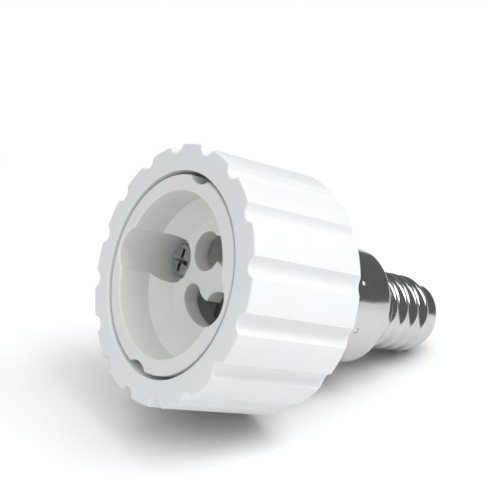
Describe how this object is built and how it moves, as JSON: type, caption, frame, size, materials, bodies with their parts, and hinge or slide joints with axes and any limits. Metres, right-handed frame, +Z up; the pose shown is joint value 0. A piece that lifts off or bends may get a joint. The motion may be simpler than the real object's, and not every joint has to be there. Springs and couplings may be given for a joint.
{
  "type": "lamp socket adapter",
  "caption": "Fluted plastic adapter that takes a lamp with two twist-lock pins in its cup and screws into a small threaded lampholder with its metal cap.",
  "frame": {"origin": "on the floor, under the middle of the outline, with the adapter lying as it comes to rest on the back edge of its body and its last thread crest", "axes": "+X level towards the end of the cap, +Y to the left when looking along +X, +Z up; the adapter's own axis lies in the XZ plane and slopes down towards the cap"},
  "size_m": [0.0626, 0.0388, 0.0429],
  "materials": {
    "shell_plastic": "satin",
    "insert_plastic": "matte",
    "plate_board": "matte",
    "contact_bronze": "satin",
    "rivet_brass": "satin",
    "solder": "satin",
    "screw_steel": "satin",
    "cap_nickel": "polished",
    "black_glass": "gloss",
    "eyelet_brass": "satin",
    "lead_copper": "satin",
    "lead_sleeve": "satin"
  },
  "bodies": {
    "root": {"outer_shell": "shell_plastic", "holder_insert": "insert_plastic", "contact_plate": "plate_board", "live_contact": "contact_bronze", "neutral_contact": "contact_bronze", "contact_rivets": "rivet_brass", "contact_solders": "solder", "fixing_screws": "screw_steel", "screw_cap": "cap_nickel", "tip_insulator": "black_glass", "centre_contact": "eyelet_brass", "tip_solder": "solder", "shell_solder": "solder", "live_lead_core": "lead_copper", "live_lead_sleeve": "lead_sleeve", "neutral_lead_core": "lead_copper", "neutral_lead_sleeve": "lead_sleeve"}
  },
  "joints": []
}
